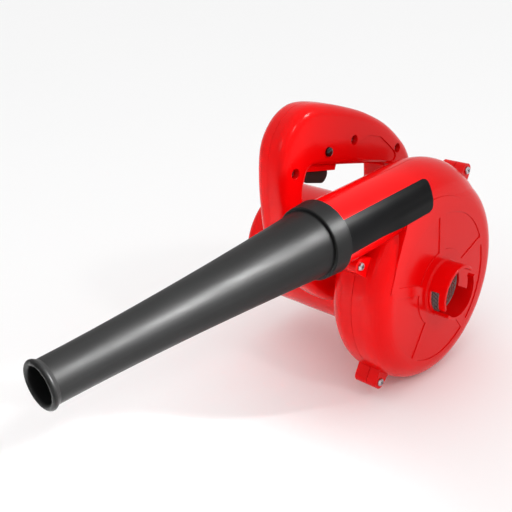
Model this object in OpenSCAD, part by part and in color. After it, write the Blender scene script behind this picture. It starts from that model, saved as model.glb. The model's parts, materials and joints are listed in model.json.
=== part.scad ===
// Hand-held electric blower: volute fan, push-on nozzle, universal motor and D handle.
// Every module is drawn in front view: x to the right, y up and z out of the inlet, with the fan axis
// at x = y = 0 and the parting plane of the volute at z = 0. Depths are measured behind that plane.
// built() turns this into the part's own frame, whose origin is the centre of the inlet rim.

/* [Volute] */
// Outer radius of the volute
volute_r = 96; // [90:1:104]
// How far the volute's centre lies to the right of the fan axis
volute_dx = 2; // [0:0.5:4]
// How far the volute's centre lies above the fan axis
volute_dy = 3.5; // [1:0.5:5]
// Radius of the volute's rounded edges
volute_edge_r = 20; // [14:1:22]
// Wall thickness of the volute
wall = 2.5; // [2:0.25:3]
// Outer radius of the outlet tube
outlet_r = 28.6; // [27:0.1:31]
// Height of the outlet tube's axis over the fan axis
outlet_h = 89.7; // [86:0.1:92]
// Distance from the fan axis to the outlet's mouth
outlet_reach = 143; // [136:1:150]
// Length of the thinner spigot that the nozzle grips
spigot_len = 15; // [12:1:18]
// How far the volute's flat faces stand out beyond the outlet tube
face_step = 0.7; // [0.5:0.1:1.5]
// Depth of the recessed panels on the front face
panel_depth = 0.8; // [0.5:0.1:1.2]

/* [Inlet collar] */
// Outer radius of the inlet collar
collar_r = 25.4; // [24:0.1:27]
// Bore radius of the inlet collar
collar_bore_r = 22.8; // [20:0.1:23]
// Length of the inlet collar in front of the face
collar_len = 19.2; // [18:0.1:26]
// Width of the bayonet slots
slot_w = 9; // [7:0.5:10]
// Pitch of the inlet mesh
mesh_pitch = 3; // [2.8:0.1:4]

/* [Nozzle] */
// Distance from the fan axis to the nozzle's tip
nozzle_reach = 382.7; // [360:0.1:400]
// Bore radius at the tip
tip_bore_r = 12.5; // [11:0.5:14]
// Wall thickness of the rubber
nozzle_wall = 2.4; // [2:0.2:3]
// Length of the cuff round the outlet
cuff_len = 17; // [16:1:20]

/* [Motor] */
// Outer radius of the motor case
case_r = 59.5; // [57:0.5:62]
// Depth of the motor's far end behind the parting plane
case_end = 164; // [160:1:172]
// Length of the end cover
cover_len = 24; // [20:1:26]
// Radius of the motor shaft
shaft_r = 4; // [3.5:0.5:4]
// Length of the field and armature cores
core_len = 44; // [38:1:46]
// Outer radius of the field core
field_r = 38; // [36:0.5:40]
// Radius of the armature core
armature_r = 21; // [19:0.5:22]
// Radial gap between armature and field
air_gap = 0.6; // [0.5:0.1:1]

/* [Impeller] */
// Outer radius of the impeller
impeller_r = 70; // [64:1:76]
// Number of blades
blades = 9; // [6:1:12]
// Width of the blades along the shaft
blade_w = 30; // [22:1:31]

/* [Handle] */
// Depth of the handle's near face behind the parting plane
handle_near = 45; // [42:1:50]
// Thickness of the handle
handle_w = 32; // [30:1:36]
// Radius of the grip's rounded edges
grip_edge_r = 10; // [7:0.5:11]
// Wall thickness of the handle
handle_wall = 2.6; // [2:0.2:3]
// Travel of the trigger
trigger_travel = 5; // [3:0.5:6]
// Travel of the lock-on button
lock_travel = 2.5; // [1.5:0.5:3]

/* [Fasteners] */
// Head radius of the case screws
screw_head_r = 3.6; // [3:0.1:4]
// Shank radius of the case screws
screw_r = 1.9; // [1.5:0.1:2]

/* [Hidden] */

$fn = 96;
eps = 0.01;                      // overlap that keeps cuts clean
fit = 0.2;                       // clearance between round pieces that seat
run_fit = 0.05;                  // radial clearance of a close or running fit
seat_gap = 0.3;                  // gap between a moving piece and what it stops on

half_w = outlet_r + face_step;
collar_reach = half_w + collar_len;
red = "#e3141b";
rubber = "#2a2a2a";
dark = "#2a3330";
steel = "#b8bcc2";
copper = "#b86a38";

// Lugs of the volute: [direction from the volute's centre, distance of the screw beyond its edge]
lugs = [[152.5, 11], [51.5, 10.5], [228, 8.5]];
lug_front = 10.5;                // depth of the lugs on the front half
lug_rear = 13;                   // depth of the lugs on the rear half
lug_r = 6.5;

scroll_sink = 0.6;               // how far the scroll starts inside the volute's rim
scroll_dx = volute_dx - (outlet_h + outlet_r - volute_dy - volute_r) - scroll_sink;
seam = 0.25;                     // half width of the groove along a parting line
seam_depth = 0.5;
neck_edge = [[-77, 25], [-67, 52], [-56, 75]]; // edge of the flat face below the outlet tube

// Inlet
slot_z = half_w + 4;             // height of the bayonet slots' legs
slot_at = 30;                    // direction of the first slot's mouth
slot_turn = 48;                  // turn of the legs round the collar
mesh_seat = half_w + 1;
mesh_t = 1;
mesh_lip = 0.4;                  // how far the mesh reaches behind the bore's wall
mesh_bar = 0.7;

// Nozzle
cuff_back = outlet_reach - spigot_len;
cuff_front = cuff_back + cuff_len;
spigot_r = outlet_r - 1;
cuff_r = spigot_r + 3.3;
cone_root_r = spigot_r - 0.3;
cone_tip_r = tip_bore_r + nozzle_wall;

// Motor, as depths behind the parting plane
web_y = half_w;                  // front wall of the motor case
web_t = 3;
cup_t = 2.5;
cup_lip = 2;
bearing_y = web_y + web_t;
bearing_w = 7;
bearing_r = 11;
race_w = 2.2;
retainer_t = 1.2;
core_y = bearing_y + bearing_w + 28;
core_end = core_y + core_len;
winding_len = 9;
commutator_y = core_end + winding_len + 2;
commutator_len = 14;
commutator_r = 12;
cover_y = case_end - cover_len;
cover_edge_r = 9;
lip_len = 4;
rear_bearing_r = 9.5;
rear_bearing_w = 6;
rear_bearing_y = commutator_y + commutator_len + 5;
tail_r = shaft_r - 0.5;          // radius of the shaft in the rear bearing
flange_r = 47;                   // radius of the motor case screws' circle
yoke_t = 6;                      // thickness of the field core's yoke
pole_tip = 2.4;                  // thickness of the pole tips
coil_over = 8;                   // how far the field coils stand out of the core
field_screw_r = 35;              // radius of the field screws' circle
cover_post_r = 5.5;
cover_post_at = case_r - 10;
brush = [16, 6, 8];              // length, width and height of a carbon brush
brush_gap = 0.3;
holder_wall = 1.5;
holder_gap = 2;                  // gap between a brush holder and the commutator
holder_size = [brush[1] + 2 * (fit + holder_wall), brush[2] + 2 * (fit + holder_wall)];
holder_end = sqrt((case_r - wall) ^ 2 - (holder_size[0] / 2) ^ 2) - fit; // where its corners meet the case
holder_len = holder_end - commutator_r - holder_gap;

// Impeller
impeller_front = -21;            // depth of the shroud ring's front face
shroud_t = 1.8;
back_y = impeller_front + shroud_t + blade_w;
back_t = 2.2;
vane_h = 4;
eye_r = 30;
hub_r = 10;
hub_front = back_y - 14;
hub_back = half_w - wall - 1.5;
nut_h = 5;
nut_r = 6.6;
washer_t = 1.6;

// Handle, in front view with its parting plane at z = 0
half_t = handle_w / 2;
handle_mid = handle_near + half_t;
saddle_r = case_r + fit;
spine = [
    [-45, -18], [-66, -11], [-92, 14], [-109, 38], [-119, 64], [-121.7, 92], [-121.5, 120],
    [-117.5, 146], [-107.5, 162], [-93, 172.5], [-76, 175.5], [-53.7, 170.7], [-28.3, 161.8],
    [-2, 150.6], [25.6, 134.2], [46.5, 116], [58.6, 101], [64.6, 85], [66.5, 60], [66.5, 20],
    [63, -5], [44, -18]
];
opening = [[-95, 68, 12], [23, 68, 12], [23, 96.8, 5], [-86, 126.2, 9], [-94.5, 108, 25]];
opening_flare = 6;
guard = [[-91, 119.5], [-88, 121.1], [-49, 111.3], [-47, 116], [-57, 125], [-88, 130]];
guard_w = 22;
panel = [[-23, 114.5, 2], [40, 94, 4], [31, 108, 10], [12, 125.5, 14], [-6, 132, 12], [-22, 128, 3]];
panel_cut = 1;
rear_leg = [[16, 98.2], [76, 82], [76, -30], [16, -30]]; // the leg below the grip's straight underside
rear_leg_cut = 5;                // how far the leg's near face lies behind the grip's
grip_screws = [[-105, 125.5], [-27, 133], [37, 108], [-84, 30]];
head_hole_r = screw_head_r + 0.9;
head_sink = 6;
grip_post_r = head_hole_r + 1.6;
lock_at = [-62.5, 132.5];
lock_r = 3.9;
lock_proud = 1.6;
lock_len = 10;                   // length of the button inside the near face
trigger_x = [-84, -54];
trigger_y = [105, 122];
trigger_w = 14;
stem_x = [-75, -69];
switch_x = [-88, -50];
switch_y = [trigger_y[1] + 16, 157];
switch_w = 18;
capacitor_at = [36, 68];
capacitor_size = [18, 9, 12];
cord_at = 50;                    // height of the cord's inlet in the rear leg
cord_r = 4.5;

// ---------- helpers ----------

module built() {
    translate([0, collar_reach, 0]) rotate([90, 0, 0]) children();
}

// Extrudes a front-view outline from depth y0 to depth y1.
module slab(y0, y1) {
    translate([0, 0, -y1]) linear_extrude(y1 - y0) children();
}

// Turns a profile of [radius, depth] points about the fan axis.
module turned(profile) {
    rotate_extrude() polygon([for (p = profile) [p[0], -p[1]]]);
}

module ring(r_in, r_out, y0, y1) {
    turned([[r_in, y0], [r_out, y0], [r_out, y1], [r_in, y1]]);
}

module rod(r, y0, y1) {
    translate([0, 0, -y1]) cylinder(r = r, h = y1 - y0);
}

// A sector of a flat ring.
module band(r_in, r_out, a0, a1) {
    intersection() {
        difference() {
            circle(r = r_out);
            circle(r = r_in);
        }
        polygon([[0, 0], for (i = [0:4]) 2 * r_out * [cos(a0 + (a1 - a0) * i / 4), sin(a0 + (a1 - a0) * i / 4)]]);
    }
}

// Repeats its children round the fan axis.
module around(n, first = 0) {
    for (i = [0:n - 1]) rotate(first + i * 360 / n) children();
}

function unit(v) = v / norm(v);

function arc(centre, r, a0, a1, n) =
    [for (i = [0:n]) centre + r * [cos(a0 + (a1 - a0) * i / n), sin(a0 + (a1 - a0) * i / n)]];

// The arc that rounds the corner at p between its neighbours a and b.
function corner(a, p, b, r, n) =
    let (
        u = unit(a - p),
        v = unit(b - p),
        half = acos(u * v) / 2,
        centre = p + unit(u + v) * r / sin(half),
        start = p + u * r / tan(half) - centre,
        turn = (u[0] * v[1] - u[1] * v[0] < 0 ? 1 : -1) * (180 - 2 * half),
        a0 = atan2(start[1], start[0])
    )
    arc(centre, r, a0, a0 + turn, n);

// A polygon of [x, y, radius] corners with each corner rounded.
function rounded(pts, n = 5) =
    let (m = len(pts), xy = [for (p = pts) [p[0], p[1]]])
    [for (i = [0:m - 1]) each corner(xy[(i + m - 1) % m], xy[i], xy[(i + 1) % m], pts[i][2], n)];

// A smooth open curve through the given points, n steps to each span.
function smooth(pts, n = 3) =
    let (m = len(pts))
    [for (i = [0:m - 2], j = [0:n - (i == m - 2 ? 0 : 1)])
        let (
            a = pts[max(i - 1, 0)],
            b = pts[i],
            c = pts[i + 1],
            d = pts[min(i + 2, m - 1)],
            t = j / n
        )
        0.5 * (2 * b + (c - a) * t + (2 * a - 5 * b + 4 * c - d) * t ^ 2 + (3 * b - a - 3 * c + d) * t ^ 3)];

function reversed(pts) = [for (i = [len(pts) - 1:-1:0]) pts[i]];

// Moves each point of a counter-clockwise outline inwards by d.
function inset(pts, d) =
    let (m = len(pts))
    [for (i = [0:m - 1])
        let (t = unit(pts[(i + 1) % m] - pts[(i + m - 1) % m]))
        pts[i] + d * [-t[1], t[0]]];

// A solid on a counter-clockwise outline from z = 0 to z = t, whose upper edge is rounded by r.
// A negative r flares the edge outwards, which makes a cutter for a rounded opening. A groove
// above zero is a chamfer round the lower edge.
module pillow(outline, t, r, steps = 4, groove = 0) {
    m = len(outline);
    e = abs(r);
    layers = [
        if (groove > 0) [0, groove],
        [groove, 0],
        for (j = [0:steps]) [t - e + e * sin(90 * j / steps), sign(r) * e * (1 - cos(90 * j / steps))],
        if (r < 0) [t + 1, r]
    ];
    pts = [for (l = layers) each [for (p = inset(outline, l[1])) [p[0], p[1], l[0]]]];
    last = len(layers) - 1;
    sides = [
        for (j = [0:last - 1], i = [0:m - 1])
            let (a = j * m + i, b = j * m + (i + 1) % m)
            each [[a, a + m, b + m], [a, b + m, b]]
    ];
    bottom = [for (i = [0:m - 1]) i];
    top = [for (i = [m - 1:-1:0]) last * m + i];
    polyhedron(points = pts, faces = concat([bottom], sides, [top]));
}

// A wire coil along z, swept as one unbroken tube of six sides.
module coil_spring(r, wire_r, length, turns, per_turn = 8) {
    m = 6;
    n = turns * per_turn;
    pts = [
        for (i = [0:n], k = [0:m - 1])
            let (
                a = 360 * i / per_turn,
                b = 360 * k / m,
                rr = r + wire_r * cos(b),
                z = wire_r + (length - 2 * wire_r) * i / n + wire_r * sin(b)
            )
            [rr * cos(a), rr * sin(a), z]
    ];
    sides = [
        for (i = [0:n - 1], k = [0:m - 1])
            let (a = i * m + k, b = i * m + (k + 1) % m)
            each [[a, b, b + m], [a, b + m, a + m]]
    ];
    start = [for (k = [m - 1:-1:0]) k];
    end = [for (k = [0:m - 1]) n * m + k];
    polyhedron(points = pts, faces = concat([start], sides, [end]));
}

// A cross-recessed pan-head screw with its head towards +z; the head seats at z = 0.
module pan_screw(length, head_r = screw_head_r, r = screw_r) {
    head_h = head_r * 0.6;
    difference() {
        union() {
            translate([0, 0, -length]) cylinder(r = r, h = length + eps);
            rotate_extrude() polygon([
                [0, 0], [head_r, 0], [head_r, head_h * 0.4], [head_r * 0.9, head_h * 0.75],
                [head_r * 0.6, head_h], [0, head_h]
            ]);
        }
        for (a = [0, 90])
            rotate(a) translate([-head_r * 0.55, -head_r * 0.12, head_h * 0.4])
                cube([head_r * 1.1, head_r * 0.24, head_h]);
    }
}

// ---------- volute ----------

// The volute and its outlet tube, drawn in by t all over.
module volute_form(t) {
    w = half_w - t;
    r = volute_r - t;
    edge = volute_edge_r - t;
    translate([volute_dx, volute_dy, 0]) rotate_extrude()
        polygon(concat(
            [[0, -w]],
            arc([r - edge, edge - w], edge, -90, 0, 10),
            arc([r - edge, w - edge], edge, 0, 90, 10),
            [[0, w]]
        ));
    translate([scroll_dx, volute_dy, 0]) rotate_extrude(angle = 90)
        translate([outlet_h - volute_dy, 0]) circle(r = outlet_r - t);
    translate([scroll_dx, outlet_h, 0]) rotate([0, -90, 0])
        cylinder(r = outlet_r - t, h = outlet_reach + scroll_dx + (t > 0 ? 5 : 0));
}

// Everything in front of the parting plane, less a margin.
module front_side(margin = 0) {
    translate([-2 * outlet_reach, -2 * volute_r, -margin]) cube([4 * outlet_reach, 4 * volute_r, 2 * half_w]);
}

module at_lugs() {
    for (l = lugs) translate([volute_dx, volute_dy]) rotate(l[0]) translate([volute_r + l[1], 0]) children();
}

module lug_outline() {
    at_lugs() {
        circle(r = lug_r, $fn = 48);
        polygon([[0, lug_r], [-24, 11], [-24, -11], [0, -lug_r]]);
    }
}

// The groove along the outside of the parting line.
module seam_cut() {
    difference() {
        translate([-2 * outlet_reach, -2 * volute_r, -seam]) cube([4 * outlet_reach, 4 * volute_r, 2 * seam]);
        volute_form(seam_depth);
    }
}

// The flat face carried on into the corner between the volute and the outlet tube.
module neck() {
    translate([0, 0, half_w / 2]) linear_extrude(half_w / 2) polygon(concat(
        [[0, 0]],
        neck_edge,
        [[-52, outlet_h]],
        arc([scroll_dx, volute_dy], outlet_h - volute_dy, 90, 56, 6)
    ));
}

// The step under the nozzle's cuff.
module spigot_cut() {
    translate([-cuff_back, outlet_h, 0]) rotate([0, -90, 0]) difference() {
        cylinder(r = outlet_r + 2, h = spigot_len + 2);
        translate([0, 0, -1]) cylinder(r = spigot_r, h = spigot_len + 4);
    }
}

// Five recessed panels between the spokes of the front face.
module face_panels() {
    inner = 36;
    outer = volute_r - volute_edge_r - 6;
    spoke = 9.4;
    difference() {
        circle(r = outer);
        circle(r = inner);
        around(5, 90) translate([0, -spoke / 2]) square([volute_r, spoke]);
    }
}

// One L-shaped bayonet slot through the collar's wall, entering from the rim at angle zero.
module bayonet_slot() {
    translate([0, -slot_w / 2, slot_z]) cube([collar_r + 3, slot_w, collar_len]);
    translate([0, 0, slot_z]) linear_extrude(slot_w) band(collar_bore_r - 2, collar_r + 3, -slot_turn, 0);
}

module fan_cover() {
    color(red) built() difference() {
        union() {
            intersection() {
                volute_form(0);
                front_side();
            }
            slab(-lug_front, 0) lug_outline();
            neck();
            rotate_extrude() polygon([
                [0, half_w - 1], [collar_r + 2.6, half_w - 1], [collar_r + 0.6, half_w + 0.6],
                [collar_r, half_w + 2], [collar_r, collar_reach - 0.6], [collar_r - 0.6, collar_reach],
                [0, collar_reach]
            ]);
        }
        intersection() {
            volute_form(wall);
            front_side(1);
        }
        spigot_cut();
        seam_cut();
        cylinder(r = collar_bore_r - 1.2, h = 2 * collar_reach);
        translate([0, 0, mesh_seat]) cylinder(r = collar_bore_r + mesh_lip, h = mesh_t);
        translate([0, 0, mesh_seat + mesh_t]) cylinder(r = collar_bore_r, h = 2 * collar_reach);
        translate([0, 0, half_w - panel_depth]) linear_extrude(5) face_panels();
        for (a = [slot_at, slot_at + 180]) rotate(a) bayonet_slot();
        at_lugs() translate([0, 0, -1]) cylinder(r = screw_r + fit, h = lug_front + 2);
    }
}

module fan_case() {
    color(red) built() difference() {
        union() {
            intersection() {
                volute_form(0);
                mirror([0, 0, 1]) front_side();
            }
            slab(0, lug_rear) lug_outline();
        }
        intersection() {
            volute_form(wall);
            mirror([0, 0, 1]) front_side(1);
        }
        spigot_cut();
        seam_cut();
        rod(eye_r, 0, half_w + 1);
        around(4, 45) translate([flange_r, 0, 0]) rod(screw_r + fit, 0, half_w + 1);
        at_lugs() rod(screw_r + run_fit, -1, lug_rear - 2);
    }
}

// Mesh guard seated in the inlet collar.
module inlet_mesh() {
    reach = collar_bore_r - 3;
    n = floor(reach / mesh_pitch);
    color(steel) built() translate([0, 0, mesh_seat]) linear_extrude(mesh_t) difference() {
        circle(r = collar_bore_r + mesh_lip - run_fit);
        for (i = [-n:n], j = [-n:n])
            if (norm([i, j]) * mesh_pitch < reach)
                translate([i, j] * mesh_pitch) square(mesh_pitch - mesh_bar, center = true);
    }
}

module volute_screws() {
    color(steel) built() at_lugs() translate([0, 0, lug_front]) pan_screw(lug_front + lug_rear - 3);
}

// ---------- nozzle ----------

module nozzle() {
    bead_r = 2.1;
    stop = outlet_reach + 0.6;
    cone_len = nozzle_reach - 6 - cuff_front;
    cone = [for (i = [0:12])
        let (f = i / 12)
        [cone_tip_r + (cone_root_r - cone_tip_r) * (1 - f) ^ 1.5, cuff_front + 0.2 + cone_len * f]];
    bore = [for (i = [11:-1:0]) if (cone[i][1] > stop + 4) cone[i] - [nozzle_wall, 0]];
    color(rubber) built() translate([0, outlet_h, 0]) rotate([0, -90, 0]) rotate_extrude()
        polygon(concat(
            [
                [cuff_r - 0.7, cuff_back], [cuff_r, cuff_back + 0.8], [cuff_r - 1.1, cuff_front - 0.8],
                [cuff_r - 1.7, cuff_front]
            ],
            cone,
            arc([tip_bore_r + bead_r, nozzle_reach - bead_r], bead_r, -20, 180, 10),
            [[tip_bore_r, nozzle_reach - 14]],
            bore,
            [
                [bore[len(bore) - 1][0], stop], [spigot_r + run_fit, stop],
                [spigot_r + run_fit, cuff_back]
            ]
        ));
}

// ---------- motor ----------

module cover_posts(y0, y1) {
    around(3, 90) {
        translate([cover_post_at, 0, 0]) rod(cover_post_r, y0, y1);
        slab(y0, min(y1, case_end - cover_edge_r)) translate([cover_post_at, -4]) square([case_r - 1 - cover_post_at, 8]);
    }
}

module at_cover_posts() {
    around(3, 90) translate([cover_post_at, 0, 0]) children();
}

module at_field_screws() {
    for (s = [-1, 1]) translate([s * field_screw_r, 0, 0]) children();
}

module motor_case() {
    rib_in = field_r + fit;
    color(red) built() difference() {
        union() {
            turned([
                [bearing_r - cup_lip, web_y], [case_r, web_y], [case_r, cover_y], [case_r - wall, cover_y],
                [case_r - wall, bearing_y], [bearing_r + cup_t, bearing_y],
                [bearing_r + cup_t, bearing_y + bearing_w], [bearing_r + fit, bearing_y + bearing_w],
                [bearing_r + fit, bearing_y], [bearing_r - cup_lip, bearing_y]
            ]);
            around(4, 45) slab(core_y, core_end) translate([rib_in, -2]) square([case_r - 1 - rib_in, 4]);
            at_field_screws() rod(4.5, bearing_y - eps, core_y);
            cover_posts(cover_y - 16, cover_y);
        }
        around(6, 30) slab(web_y - 1, bearing_y + 1) band(18, 27, -20, 20);
        around(4, 45) translate([flange_r, 0, 0]) rod(screw_r + run_fit, web_y - 1, bearing_y + 1);
        at_field_screws() rod(screw_r + run_fit, core_y - 14, core_y + 1);
        at_cover_posts() rod(screw_r + run_fit, cover_y - 14, cover_y + 1);
        translate([34, 0, -handle_mid]) rotate([-90, 0, 0]) cylinder(r = 5, h = case_r + 5);
    }
}

module end_cover() {
    floor_y = case_end - wall;
    flat_r = case_r - cover_edge_r;
    edge_y = case_end - cover_edge_r;
    boss_r = rear_bearing_r + cup_t;
    lip_r = case_r - wall - fit;
    color(red) built() difference() {
        union() {
            turned(concat(
                [[rear_bearing_r + fit, rear_bearing_y], [boss_r, rear_bearing_y], [boss_r, floor_y]],
                arc([flat_r, edge_y], cover_edge_r - wall, 90, 0, 8),
                [
                    [case_r - wall, cover_y + 2], [case_r - wall - wall, cover_y + 2],
                    [case_r - wall - wall, cover_y - lip_len], [lip_r, cover_y - lip_len],
                    [lip_r, cover_y], [case_r, cover_y]
                ],
                arc([flat_r, edge_y], cover_edge_r, 0, 90, 8),
                [
                    [0, case_end], [0, floor_y], [rear_bearing_r - 2, floor_y],
                    [rear_bearing_r - 2, rear_bearing_y + rear_bearing_w],
                    [rear_bearing_r + fit, rear_bearing_y + rear_bearing_w]
                ]
            ));
            cover_posts(cover_y, case_end - 2);
        }
        around(3, 90) slab(cover_y - lip_len - 1, cover_y) translate([cover_post_at, 0]) {
            circle(r = cover_post_r + fit);
            translate([0, -4 - fit]) square([20, 8 + 2 * fit]);
        }
        around(24, 7.5) translate([21, -1.3, -case_end - 1]) cube([20, 2.6, wall + 2]);
        at_cover_posts() {
            rod(screw_r + fit, cover_y - 1, case_end + 1);
            rod(screw_head_r + 0.5, case_end - 4, case_end + 1);
        }
    }
}

module end_cover_screws() {
    color(steel) built() at_cover_posts() translate([0, 0, 4 - case_end]) rotate([180, 0, 0])
        pan_screw(cover_len - 4 + 12);
}

module motor_case_screws() {
    color(steel) built() around(4, 45) translate([flange_r, 0, wall - half_w]) pan_screw(wall + web_t + 3);
}

module motor_shaft() {
    front = hub_front - washer_t - nut_h - 2;
    color(steel) built() {
        rod(shaft_r, front, rear_bearing_y);
        rod(tail_r, rear_bearing_y - eps, rear_bearing_y + rear_bearing_w + 1);
    }
}

// A shielded ball bearing, its faces grooved between the races.
module bearing(r_in, r_out, y, w) {
    sunk = 0.6;
    color(steel) built() turned([
        [r_in, y], [r_in + race_w, y], [r_in + race_w, y + sunk], [r_out - race_w, y + sunk], [r_out - race_w, y],
        [r_out, y], [r_out, y + w], [r_out - race_w, y + w], [r_out - race_w, y + w - sunk],
        [r_in + race_w, y + w - sunk], [r_in + race_w, y + w], [r_in, y + w]
    ]);
}

module front_bearing() {
    bearing(shaft_r + run_fit, bearing_r, bearing_y, bearing_w);
}

module rear_bearing() {
    bearing(tail_r + run_fit, rear_bearing_r, rear_bearing_y, rear_bearing_w);
}

module bearing_retainer() {
    y = bearing_y + bearing_w;
    color(steel) built() ring(shaft_r + 3, bearing_r + cup_t, y, y + retainer_t);
}

module armature_core() {
    slots = 12;
    color("#8b8d90") built() difference() {
        rod(armature_r, core_y, core_end);
        rod(shaft_r, core_y - 1, core_end + 1);
        around(slots) slab(core_y - 1, core_end + 1) {
            translate([armature_r - 5, -0.8]) square([6, 1.6]);
            translate([armature_r - 5.5, 0]) circle(r = 2.2, $fn = 24);
        }
    }
}

module armature_windings() {
    r = armature_r - 1.5;
    color(copper) built() for (y = [core_y - winding_len, core_end])
        turned([
            [shaft_r, y], [r - 2.5, y], [r, y + 2.5], [r, y + winding_len - 2.5],
            [r - 2.5, y + winding_len], [shaft_r, y + winding_len]
        ]);
}

module commutator() {
    color(copper) built() difference() {
        rod(commutator_r, commutator_y - 2, commutator_y + commutator_len);
        rod(shaft_r, commutator_y - 3, commutator_y + commutator_len + 1);
        around(24) translate([commutator_r - 0.8, -0.2, -commutator_y - commutator_len - 1])
            cube([2, 0.4, commutator_len + 1]);
    }
}

// Field core with an upper and a lower pole.
module field_core() {
    bore = armature_r + air_gap;
    color("#7c7f84") built() slab(core_y, core_end) difference() {
        circle(r = field_r);
        circle(r = bore);
        for (a = [0, 180]) rotate(a) {
            band(bore + pole_tip, field_r - yoke_t, -52, 52);
            band(bore - 1, bore + pole_tip + 1, -28, 28);
        }
        at_field_screws() circle(r = screw_r + fit, $fn = 48);
    }
}

module field_coils() {
    r_in = armature_r + air_gap + pole_tip + fit;
    r_out = field_r - yoke_t - fit;
    color(copper) built() for (a = [90, 270]) rotate(a) difference() {
        slab(core_y - coil_over, core_end + coil_over) band(r_in, r_out, -57, 57);
        slab(core_y - fit, core_end + fit) band(r_in - 1, r_out + 1, -38.5, 38.5);
    }
}

module field_screws() {
    color(steel) built() at_field_screws() translate([0, 0, -core_end]) rotate([180, 0, 0])
        pan_screw(core_len + 12, 3.4);
}

module at_brushes() {
    for (s = [0, 180]) rotate(s) translate([commutator_r, 0, -commutator_y - commutator_len / 2]) children();
}

module brush_holders() {
    color("#c9a227") built() at_brushes() translate([holder_gap, 0, 0]) difference() {
        translate([0, -holder_size[0] / 2, -holder_size[1] / 2]) cube([holder_len, holder_size[0], holder_size[1]]);
        translate([-1, -brush[1] / 2 - fit, -brush[2] / 2 - fit])
            cube([holder_len + 1 - holder_wall, brush[1] + 2 * fit, brush[2] + 2 * fit]);
    }
}

module carbon_brushes() {
    color("#333333") built() at_brushes() translate([brush_gap, -brush[1] / 2, -brush[2] / 2]) cube(brush);
}

module brush_springs() {
    start = brush_gap + brush[0];
    end = holder_gap + holder_len - holder_wall;
    color(steel) built() at_brushes() translate([start, 0, 0]) rotate([0, 90, 0])
        coil_spring(2.3, 0.4, end - start, 7);
}

// ---------- impeller ----------

// One backward-curved blade from the eye to the rim.
module blade_outline() {
    r0 = eye_r - 6;
    n = 8;
    sweep = 42;
    t = 1.8;
    r1 = impeller_r - 0.5;
    function at(f, a) = (r0 + (r1 - r0) * f) * [cos(a - sweep * f), sin(a - sweep * f)];
    outer = [for (i = [0:n]) at(i / n, 0)];
    inner = [for (i = [n:-1:0]) at(i / n, atan(t / (r0 + (r1 - r0) * i / n)))];
    polygon(concat(outer, inner));
}

module impeller() {
    color("#3a3d40") built() difference() {
        union() {
            ring(eye_r, impeller_r, impeller_front, impeller_front + shroud_t);
            rod(impeller_r, back_y, back_y + back_t);
            slab(impeller_front + shroud_t / 2, back_y + back_t / 2) around(blades) blade_outline();
            rod(hub_r, hub_front, hub_back);
            slab(back_y + back_t / 2, back_y + back_t + vane_h) around(8) translate([hub_r - 1, -0.8]) square([impeller_r * 0.6, 1.6]);
        }
        rod(shaft_r, hub_front - 1, half_w);
    }
}

module impeller_washer() {
    color(steel) built() ring(shaft_r, hub_r - 1, hub_front - washer_t, hub_front);
}

module impeller_nut() {
    color(steel) built() difference() {
        translate([0, 0, washer_t - hub_front]) cylinder(r = nut_r, h = nut_h, $fn = 6);
        rod(shaft_r, hub_front - 20, hub_front + 1);
    }
}

module shaft_spacer() {
    color(steel) built() ring(shaft_r, shaft_r + 2.2, hub_back, bearing_y);
}

// ---------- handle ----------

// The blank of one half on its parting plane, drawn in by shell, with the finger opening cut.
module handle_blank(t, edge, shell = 0) {
    outline = inset(reversed(smooth(spine)), shell);
    hole = inset(rounded(opening), -shell);
    difference() {
        pillow(outline, t, edge, groove = shell > 0 ? 0 : seam);
        translate([0, 0, -1]) pillow(hole, t + 1, -min(edge, opening_flare));
    }
}

module at_grip_screws() {
    for (p = grip_screws) translate(p) children();
}

// The front part of the rear leg, cut from the near half.
module leg_front(depth, up = 0) {
    translate([0, up, half_t - depth]) linear_extrude(depth + 1) polygon(rear_leg);
}

// Two ribs that hold the switch against the inside of a half.
module switch_ribs() {
    for (x = [switch_x[0] + 5, switch_x[1] - 8])
        translate([x, switch_y[0], switch_w / 2 + fit])
            cube([3, switch_y[1] - switch_y[0], half_t - handle_wall / 2 - switch_w / 2 - fit]);
}

// One half with its inner side at z = 0; only the near one has the lock button's hole.
module handle_half(near) {
    difference() {
        union() {
            difference() {
                union() {
                    handle_blank(half_t, grip_edge_r);
                    linear_extrude(guard_w / 2) polygon(guard);
                }
                difference() {
                    translate([0, 0, -1]) handle_blank(half_t - handle_wall + 1, grip_edge_r - handle_wall, handle_wall);
                    at_grip_screws() cylinder(r = grip_post_r, h = half_t);
                    if (near) leg_front(rear_leg_cut + handle_wall, handle_wall);
                }
            }
            switch_ribs();
        }
        translate([0, 0, -half_t]) cylinder(r = saddle_r, h = 3 * half_t);
        at_grip_screws() {
            translate([0, 0, -1]) cylinder(r = screw_r + fit, h = half_t);
            if (near) translate([0, 0, half_t - head_sink]) cylinder(r = head_hole_r, h = head_sink + 1);
        }
        translate([trigger_x[0] - 0.5, 90, -1])
            cube([trigger_x[1] - trigger_x[0] + 1, trigger_y[1] + trigger_travel + 0.5 - 90, trigger_w / 2 + 1.4]);
        if (near) {
            translate([lock_at[0], lock_at[1], -1]) cylinder(r = lock_r + fit, h = half_t + 2);
            leg_front(rear_leg_cut);
        }
        translate([0, 0, half_t - panel_cut]) linear_extrude(3) polygon(rounded(panel));
        translate([45, cord_at, 0]) rotate([0, 90, 0]) cylinder(r = cord_r, h = 40);
    }
}

module handle_near_half() {
    color(red) built() translate([0, 0, -handle_mid]) handle_half(true);
}

module handle_far_half() {
    color(red) built() translate([0, 0, -handle_mid]) mirror([0, 0, 1]) handle_half(false);
}

module handle_screws() {
    color(steel) built() translate([0, 0, half_t - head_sink - handle_mid]) at_grip_screws()
        pan_screw(handle_w - 2 * head_sink);
}

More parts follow.
